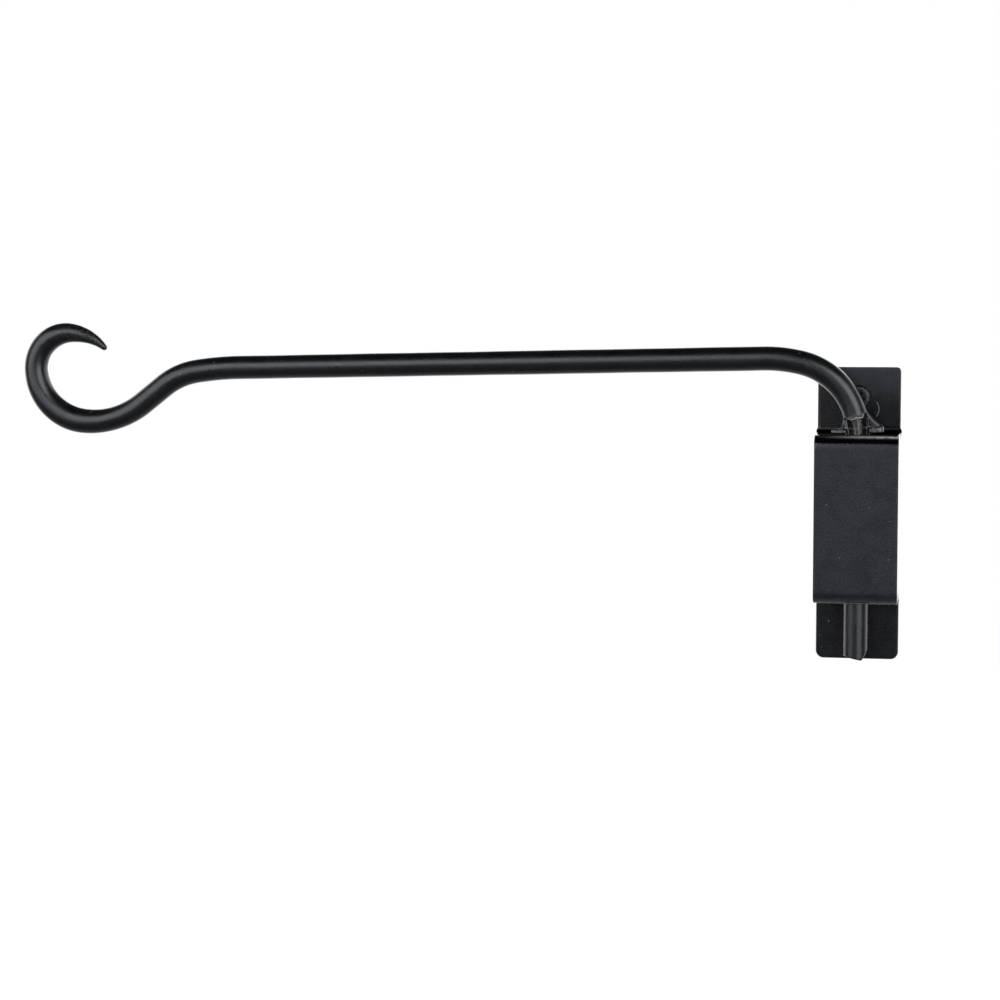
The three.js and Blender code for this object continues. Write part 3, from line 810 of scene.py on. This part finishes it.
def swivel_rod():
    """The rod, ring by ring from the pin's sheared end to the hook's point."""
    stations, flange, seat_along = rod_stations()
    turns = 2.0 * math.pi * (np.arange(ROD_SIDES) + 0.5) / ROD_SIDES
    total = stations[-1][3]
    none = np.zeros(ROD_SIDES)
    rings, forge, dark, bright = [], [], [], []

    def keep(ring, wear, pocket=none, edges=none):
        """Adds a ring with its share of paint wear, of painted shade and of painted highlight."""
        rings.append(ring)
        forge.append(wear)
        dark.append(pocket)
        bright.append(edges)

    for share in PIN_END_RINGS:
        sideways = share * ROD_RADIUS * np.cos(turns)
        keep(np.stack([sideways, pivot_y + share * ROD_RADIUS * np.sin(turns),
                       pin_bottom + sheared_height(sideways)], axis=-1), FORGE_WEAR)
    for x, z, heading, along in stations:
        height, to_tip = along - flange, total - along
        from_swell = abs(along - seat_along - SWELL_PAST_SEAT)
        swell = HOOK_SWELL / 2 * (1.0 - float(rise(0.0, SWELL_LENGTH / 2, from_swell)))
        sideways, depth = rod_ring(height, rod_radius(along, to_tip, flange, turns), turns)
        sideways = sideways * (1.0 + swell / ROD_RADIUS)
        ring = ring_at(x, z, heading, sideways, depth)
        if along <= SHEAR_REACH:
            round_off = SHEAR_ROUND * (1.0 - math.sqrt(1.0 - (1.0 - min(1.0, along / SHEAR_ROUND)) ** 2))
            inward = 1.0 - round_off / ROD_RADIUS
            ring[:, 0] = sideways * inward
            ring[:, 1] = pivot_y + depth * inward
            ring[:, 2] = pin_bottom + along + sheared_height(sideways) * (1.0 - along / SHEAR_REACH)
        forged = FORGE_WEAR * float(1.0 - rise(FORGE_WEAR_FULL, FORGE_LENGTH, to_tip))
        rub_and_highlight_share = min(1.0, sum(hump(height - mark, RUB_HALF) for mark in RUB_MARKS))
        # Painted shade in the die pockets and painted highlights on the pinch's edges.
        pocket, edges = pinch_paint(sideways, height)
        keep(ring, forged + rub_and_highlight_share, pocket * in_pinch(height), edges * in_pinch(height))
    x, z, heading, _ = stations[-1]
    for angle in TIP_ANGLES:
        ahead, radius = TIP_RADIUS * math.sin(angle), TIP_RADIUS * math.cos(angle)
        keep(ring_at(x + ahead * math.cos(heading), z + ahead * math.sin(heading), heading,
                     radius * np.cos(turns), radius * np.sin(turns)), FORGE_WEAR)
    foot = (0.0, pivot_y, pin_bottom + float(sheared_height(0.0)))
    tip = (x + TIP_RADIUS * math.cos(heading), pivot_y, z + TIP_RADIUS * math.sin(heading))
    points = np.concatenate(rings + [np.array([foot, tip])])
    worn = list(np.repeat(forge, ROD_SIDES)) + [FORGE_WEAR, FORGE_WEAR]
    grimy = list(np.concatenate(dark)) + [0.0, 0.0]
    shiny = list(np.concatenate(bright)) + [0.0, 0.0]
    return mesh_object("steel_rod", points, ring_faces(len(rings), ROD_SIDES), worn, grimy, shiny)


# ---- screws ----
def screw_point(x, along, z):
    """A point of a screw whose axis is the line x = 0, z = 0. along runs from the tab into the wall."""
    return (x, -THICKNESS + along, z)


def screw_head(name):
    """The pan head, from its crown over its dome and rim to its underside."""
    under = -HEAD_SEAT_GAP
    dome = HEAD_HEIGHT - HEAD_RIM
    angles = np.linspace(DOME_START, math.pi / 2, DOME_RINGS)
    pairs = [(HEAD_RADIUS * math.sin(a) ** DOME_POWER, head_crown + dome * (1.0 - math.cos(a)))
             for a in angles]
    pairs += [(HEAD_RADIUS, under - HEAD_RIM / 2), (HEAD_RADIUS, under - HEAD_EDGE)]
    pairs.append((HEAD_RADIUS - HEAD_EDGE, under))
    turns = 2.0 * math.pi * np.arange(HEAD_SIDES) / HEAD_SIDES
    points = [screw_point(r * math.cos(t), along, r * math.sin(t)) for r, along in pairs for t in turns]
    points += [screw_point(0.0, head_crown, 0.0), screw_point(0.0, under, 0.0)]
    # The painted highlight ring on the head's shoulder.
    rub_and_highlight_share = [float(HEAD_HIGHLIGHT_RING[0] < r / HEAD_RADIUS < HEAD_HIGHLIGHT_RING[1]) for r, _ in pairs]
    worn = list(np.repeat(rub_and_highlight_share, HEAD_SIDES)) + [0.0, 0.0]
    return mesh_object(name, points, ring_faces(len(pairs), HEAD_SIDES), worn)


def cross_recess():
    """A tapered cross that cuts the driver's recess."""
    above, bottom = head_crown - RECESS_DEPTH / 2, head_crown + RECESS_DEPTH
    levels = ((RECESS_MOUTH, above), (1.0, head_crown), (RECESS_TAPER, bottom))
    points = []
    for share, along in levels:
        reach, slot = RECESS_HALF * share, SLOT_HALF * (0.5 + share / 2)
        quarter = [(reach, -slot), (reach, slot), (slot, slot)]
        for k in range(4):
            c, s = math.cos(k * math.pi / 2), math.sin(k * math.pi / 2)
            points += [screw_point(x * c - z * s, along, x * s + z * c) for x, z in quarter]
    points.append(screw_point(0.0, above, 0.0))
    points.append(screw_point(0.0, head_crown + RECESS_POINT * RECESS_DEPTH, 0.0))
    return mesh_object("recess", points, ring_faces(len(levels), 4 * len(quarter)))


def shank_radius(along, turn):
    """The screw's radius at a depth and a turn about its axis: plain, threaded, then tapered."""
    if along <= PLAIN_LENGTH:
        return SHANK_RADIUS
    taper = min(1.0, max(0.0, SCREW_LENGTH - along) / POINT_LENGTH)
    run_out = min(1.0, (along - PLAIN_LENGTH) / THREAD_PITCH)
    core = SHANK_RADIUS + (CORE_RADIUS - SHANK_RADIUS) * run_out
    turns = (along - PLAIN_LENGTH) / THREAD_PITCH - turn / (2.0 * math.pi)
    off_crest = abs(turns - math.floor(turns) - 0.5)
    return taper * (core + (SHANK_RADIUS - core) * max(0.0, 1.0 - off_crest / THREAD_FLANK))


def screw_shank():
    """The screw without its head, from just inside the head to the point."""
    rows = math.ceil((SCREW_LENGTH - PLAIN_LENGTH) / THREAD_PITCH * THREAD_ROWS)
    lengths = [-SHANK_OVERLAP] + list(np.linspace(0.0, PLAIN_LENGTH, PLAIN_RINGS))
    lengths += list(np.linspace(PLAIN_LENGTH, SCREW_LENGTH, rows + 1)[1:-1])
    turns = 2.0 * math.pi * np.arange(SHANK_SIDES) / SHANK_SIDES
    points = [screw_point(shank_radius(along, t) * math.cos(t), along, shank_radius(along, t) * math.sin(t))
              for along in lengths for t in turns]
    points += [screw_point(0.0, lengths[0], 0.0), screw_point(0.0, SCREW_LENGTH, 0.0)]
    return mesh_object("shank", points, ring_faces(len(lengths), SHANK_SIDES))


def mounting_screw(side, z):
    """A pan head screw, its shank joined to its head, turned about its axis and put in its hole."""
    screw = screw_head("pan_head_screw_" + side)
    combine(screw, cross_recess(), "DIFFERENCE")
    combine(screw, screw_shank(), "UNION")
    turned = Matrix.Translation((0.0, 0.0, z)) @ Matrix.Rotation(SCREW_TURNS[side], 4, "Y")
    screw.data.transform(turned)
    screw.data.shade_smooth()
    screw.data.set_sharp_from_angle(angle=SHARP_ANGLE)
    return screw


# ---- materials ----
def add(tree, kind, sockets=None, **settings):
    """Adds a shader node of this kind. Each socket takes a number, a colour or another node's output."""
    made = tree.nodes.new("ShaderNode" + kind)
    for name, value in settings.items():
        setattr(made, name, value)
    for name, value in (sockets or {}).items():
        if isinstance(value, bpy.types.NodeSocket):
            tree.links.new(value, made.inputs[name])
        else:
            made.inputs[name].default_value = value
    return made


def noise(tree, where, size, detail, roughness=NOISE_ROUGH, distortion=0.0):
    """A noise whose lumps are about size metres across, from 0 to 1."""
    made = add(tree, "TexNoise", {"Vector": where, "Scale": 1.0 / size, "Detail": detail,
                                  "Roughness": roughness, "Distortion": distortion})
    return made.outputs["Fac"]


def ramp(tree, value, low, high, start=0.0, end=1.0):
    """Smoothly maps value from low..high to start..end and holds it there."""
    made = add(tree, "MapRange", {"Value": value, "From Min": low, "From Max": high,
                                  "To Min": start, "To Max": end}, interpolation_type="SMOOTHSTEP")
    return made.outputs["Result"]


def blend(tree, share, first, second):
    """Mixes two colours, each a tuple or another node's output. A share of 0 gives the first one."""
    made = add(tree, "Mix", data_type="RGBA")
    for socket, value in ((made.inputs[0], share), (made.inputs[6], first), (made.inputs[7], second)):
        if isinstance(value, bpy.types.NodeSocket):
            tree.links.new(value, socket)
        else:
            socket.default_value = value if isinstance(value, float) else (*value, 1.0)
    return made.outputs[2]


def calc(tree, operation, first, second):
    """One operation on two numbers or node outputs."""
    return add(tree, "Math", {0: first, 1: second}, operation=operation).outputs[0]


def times(tree, product, *others):
    """The product of two or more numbers or node outputs."""
    for other in others:
        product = calc(tree, "MULTIPLY", product, other)
    return product


def specks(tree, where, spacing, radius, share):
    """Sparse dust specks: 1 on a speck, 0 elsewhere."""
    cells = add(tree, "TexVoronoi", {"Vector": where, "Scale": 1.0 / spacing, "Randomness": 1.0})
    near = ramp(tree, cells.outputs["Distance"], radius / spacing, SPECK_CORE * radius / spacing)
    chosen = add(tree, "SeparateColor", {"Color": cells.outputs["Color"]})
    return times(tree, near, calc(tree, "LESS_THAN", chosen.outputs[0], share))


def tab_marks(tree, where):
    """A curved scratch on the upper tab and a chip on the lower one, both on the front only."""
    place = add(tree, "SeparateXYZ", {"Vector": where}).outputs
    flat = add(tree, "CombineXYZ", {"X": place["X"], "Y": place["Z"]}).outputs[0]

    def distance_to(centre):
        """The distance from a centre, seen from the front."""
        made = add(tree, "VectorMath", {0: flat, 1: (*centre, 0.0)}, operation="DISTANCE")
        return made.outputs["Value"]

    def near(value, middle, half, core):
        """1 where a value is within core of its middle one, falling to 0 at half from it."""
        off = calc(tree, "ABSOLUTE", calc(tree, "SUBTRACT", value, middle), 0.0)
        return ramp(tree, off, half, core)

    scratch = times(
        tree, near(distance_to(SCRATCH_AT), SCRATCH_RADIUS, SCRATCH_HALF, SCRATCH_CORE),
        near(place["Z"], SCRATCH_AT[1], SCRATCH_REACH, SCRATCH_FULL),
        calc(tree, "GREATER_THAN", place["X"], SCRATCH_AT[0]))
    chip = ramp(tree, distance_to(CHIP_AT), CHIP_RADIUS, CHIP_CORE)
    return times(tree, calc(tree, "MAXIMUM", scratch, chip),
                 calc(tree, "GREATER_THAN", place["Y"], TAB_FRONT[0]),
                 calc(tree, "LESS_THAN", place["Y"], TAB_FRONT[1]))


def powder_coat(name, color, warm, bare_and_highlight_tone, rough, ior, grain, worn_share, marks=None):
    """Black powder coat: mottled tone, orange peel, paint wear at edges, painted shade, painted highlights
    and dust.

    color and warm are the two tones of the mottling, bare_and_highlight_tone the tone of paint wear and of
    the screw heads' painted highlight ring, rough the lowest and highest roughness, grain the size of the
    orange peel, worn_share how much of a place of wear takes that tone, and marks a function that gives the
    share of scratched paint."""
    material = bpy.data.materials.new(name)
    material.use_nodes = True
    tree = material.node_tree
    shader = tree.nodes["Principled BSDF"]
    where = add(tree, "TexCoord").outputs["Object"]
    worn, grimy, bright = [add(tree, "Attribute", attribute_name=label).outputs["Fac"]
                           for label in ("worn", "grimy", "bright")]
    blotches = noise(tree, where, *BLOTCHES)
    patches = noise(tree, where, *PATCHES)
    chips = noise(tree, where, *CHIPS)
    streaks = noise(tree, where, *STREAKS)
    fine = noise(tree, where, grain, PEEL_DETAIL)
    finest = noise(tree, where, FINEST_SHARE * grain, PEEL_DETAIL, FINEST_ROUGH)
    # Paint wear, and on the screw heads the painted highlight ring.
    rub_and_highlight_share = times(tree, ramp(tree, chips, BARE_FROM - BARE_SPREAD * worn_share, BARE_FULL), worn)
    dust = specks(tree, where, DUST_SPACING, DUST_RADIUS, DUST_SHARE)

    darker, lighter = [tuple(share * channel for channel in color) for share in (DARKER, LIGHTER)]
    tone = blend(tree, ramp(tree, patches, *PATCH_SPAN), color, warm)
    layers = [
        (ramp(tree, blotches, *BLOTCH_DARK), darker), (ramp(tree, fine, *PEEL_DARK), darker),
        (ramp(tree, fine, *PEEL_LIGHT), lighter), (rub_and_highlight_share, bare_and_highlight_tone), (grimy, SHADE_COLOR),
        (times(tree, bright, ramp(tree, streaks, *STREAK_SPAN)), SHINE_COLOR),
        (times(tree, dust, DUST_COVER), DUST_COLOR),
    ]
    if marks is not None:
        layers.append((marks(tree, where), MARK_COLOR))
    for share, over in layers:
        tone = blend(tree, share, tone, over)
    tree.links.new(tone, shader.inputs["Base Color"])

    gloss = ramp(tree, blotches, *GLOSS_SPAN, *rough)
    gloss = calc(tree, "ADD", gloss, ramp(tree, finest, *GLOSS_SPAN, *FINEST_GLOSS))
    gloss = calc(tree, "ADD", gloss, times(tree, dust, DUST_DULL))
    facing = add(tree, "LayerWeight", {"Blend": 0.5}).outputs["Facing"]
    gloss = times(tree, gloss, ramp(tree, facing, *RIM_FACING, 1.0, RIM_GLOSS),
                  ramp(tree, grimy, 0.0, 1.0, 1.0, SHADE_GLOSS))
    tree.links.new(gloss, shader.inputs["Roughness"])

    below = {}
    for height, (strength, depth) in ((fine, PEEL_BUMP), (finest, SKIN_BUMP), (blotches, LUMP_BUMP),
                                      (times(tree, chips, worn), DENT_BUMP)):
        sockets = {"Strength": strength, "Distance": depth, "Height": height, **below}
        below = {"Normal": add(tree, "Bump", sockets).outputs[0]}
    tree.links.new(below["Normal"], shader.inputs["Normal"])
    shader.inputs["IOR"].default_value = ior
    return material


# ---- the pieces ----
strap = wall_bracket()
rod = swivel_rod()
screws = {"upper": mounting_screw("upper", screw_z), "lower": mounting_screw("lower", -screw_z)}

strap.data.materials.append(powder_coat(
    "strap_coat", color=(0.0064, 0.0072, 0.0108), warm=(0.007, 0.0076, 0.0096), bare_and_highlight_tone=(0.05, 0.051, 0.046),
    rough=(0.36, 0.46), ior=1.47, grain=0.75 * MM, worn_share=0.6, marks=tab_marks))
rod.data.materials.append(powder_coat(
    "rod_coat", color=(0.0024, 0.0026, 0.0034), warm=(0.0032, 0.0033, 0.003), bare_and_highlight_tone=(0.07, 0.069, 0.065),
    rough=(0.27, 0.34), ior=1.57, grain=0.6 * MM, worn_share=0.7))
screw_coat = powder_coat(
    "screw_coat", color=(0.003, 0.0034, 0.0046), warm=(0.0042, 0.0043, 0.0045), bare_and_highlight_tone=(0.13, 0.13, 0.125),
    rough=(0.26, 0.34), ior=1.45, grain=0.6 * MM, worn_share=0.7)

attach(strap, "bracket")
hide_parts("wall_bracket")
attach(rod, "arm")
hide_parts("swivel_arm")
for side, screw in screws.items():
    screw.data.materials.append(screw_coat)
    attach(screw, "bracket")
    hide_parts("mounting_screw_" + side)


# ---- camera, lights, stage ----
def direction(azimuth, elevation):
    """The direction from the bracket at these angles. Azimuth 0 is at -Y and a quarter turn at +X."""
    level = math.cos(elevation)
    return Vector((math.sin(azimuth) * level, -math.cos(azimuth) * level, math.sin(elevation)))


def camera():
    """The photograph's camera: its aim, distance, turn and lens."""
    across = Vector((math.cos(CAMERA_AZIMUTH), math.sin(CAMERA_AZIMUTH), 0.0))
    forward = -direction(CAMERA_AZIMUTH, CAMERA_ELEVATION)
    above = across.cross(forward)
    right = across * math.cos(CAMERA_ROLL) + above * math.sin(CAMERA_ROLL)
    up = above * math.cos(CAMERA_ROLL) - across * math.sin(CAMERA_ROLL)
    view = Matrix((right, up, -forward)).transposed().to_4x4()
    view.translation = CAMERA_AIM - forward * CAMERA_DISTANCE
    data = bpy.data.cameras.new("camera")
    data.lens = CAMERA_LENS_MM
    data.sensor_width = 36.0
    data.clip_start = 0.01
    shown = put_object("camera", data)
    shown.matrix_world = view
    bpy.context.scene.camera = shown


def softbox(name, azimuths, elevations, radiance):
    """A rectangular lamp that spans these angles. Its radiance is what a mirror would show of it."""
    azimuth, elevation = math.radians(sum(azimuths) / 2), math.radians(sum(elevations) / 2)
    back = direction(azimuth, elevation)
    wide, tall = math.radians(azimuths[1] - azimuths[0]), math.radians(elevations[1] - elevations[0])
    width = 2.0 * LAMP_DISTANCE * math.tan(wide / 2) * math.cos(elevation)
    height = 2.0 * LAMP_DISTANCE * math.tan(tall / 2)
    data = bpy.data.lights.new(name, "AREA")
    data.shape = "RECTANGLE"
    data.size = width
    data.size_y = height
    data.energy = radiance * math.pi * width * height
    data.color = LAMP_COLOR
    shown = put_object(name, data)
    shown.location = LAMP_AIM + back * LAMP_DISTANCE
    shown.rotation_mode = "QUATERNION"
    shown.rotation_quaternion = (-back).to_track_quat("-Z", "Y")
    shown.visible_camera = False


def world():
    """Camera rays see white. Light and gloss see a room: white behind the wall, dim in front, dark above."""
    shown = bpy.data.worlds.new("studio")
    shown.use_nodes = True
    tree = shown.node_tree
    tree.nodes.clear()
    axes = add(tree, "SeparateXYZ", {"Vector": add(tree, "TexCoord").outputs["Generated"]})
    behind = ramp(tree, axes.outputs["Y"], *BACKDROP_FADE, ROOM_FRONT, ROOM_BEHIND)
    above = ramp(tree, axes.outputs["Z"], *CEILING_FADE, 1.0, CEILING_SHARE)
    room = add(tree, "Background", {"Color": WHITE, "Strength": times(tree, behind, above)})
    seen = add(tree, "Background", {"Color": WHITE, "Strength": 1.0})
    camera_ray = add(tree, "LightPath").outputs["Is Camera Ray"]
    pick = add(tree, "MixShader", {0: camera_ray, 1: room.outputs[0], 2: seen.outputs[0]})
    add(tree, "OutputWorld", {"Surface": pick.outputs[0]})
    bpy.context.scene.world = shown


def floor():
    """A pale floor below the bracket. It takes the shadow and fades to plain white for the camera.

    In gloss and bounced light it is dim in front and glows behind."""
    low, high = -FLOOR_HALF, FLOOR_HALF
    mesh = bpy.data.meshes.new("floor")
    corners = [(x, y, FLOOR_Z) for x, y in ((low, low), (high, low), (high, high), (low, high))]
    mesh.from_pydata(corners, [], [(0, 1, 2, 3)])
    shown = put_object("floor", mesh)
    material = bpy.data.materials.new("floor_pale")
    material.use_nodes = True
    tree = material.node_tree
    tree.nodes.clear()
    matte = add(tree, "BsdfDiffuse", {"Color": (*FLOOR_COLOR, 1.0)})
    lift = add(tree, "Emission", {"Color": WHITE, "Strength": FLOOR_LIFT})
    white = add(tree, "Emission", {"Color": WHITE, "Strength": 1.0})
    lit = add(tree, "AddShader", {0: matte.outputs[0], 1: lift.outputs[0]})
    where = add(tree, "TexCoord").outputs["Object"]
    flat = add(tree, "VectorMath", {0: where, 1: (1.0, 1.0, 0.0)}, operation="MULTIPLY")
    far = add(tree, "VectorMath", {0: flat.outputs[0]}, operation="LENGTH").outputs["Value"]
    fade = ramp(tree, far, *FLOOR_FADE)
    seen = add(tree, "MixShader", {0: fade, 1: lit.outputs[0], 2: white.outputs[0]})
    behind = add(tree, "SeparateXYZ", {"Vector": where}).outputs["Y"]
    bounced = ramp(tree, behind, *BOUNCE_FADE, BOUNCE_NEAR, BOUNCE_FAR)
    bounce = add(tree, "BsdfDiffuse", {"Color": bounced})
    glow = add(tree, "Emission", {"Strength": ramp(tree, behind, *GLOW_FADE)})
    reflected = add(tree, "AddShader", {0: bounce.outputs[0], 1: glow.outputs[0]})
    camera_ray = add(tree, "LightPath").outputs["Is Camera Ray"]
    pick = add(tree, "MixShader", {0: camera_ray, 1: reflected.outputs[0], 2: seen.outputs[0]})
    add(tree, "OutputMaterial", {"Surface": pick.outputs[0]})
    mesh.materials.append(material)


camera()
world()
floor()
for name, (azimuths, elevations, radiance) in SOFTBOXES.items():
    softbox(name, azimuths, elevations, radiance)

bpy.context.scene.view_settings.view_transform = "Standard"
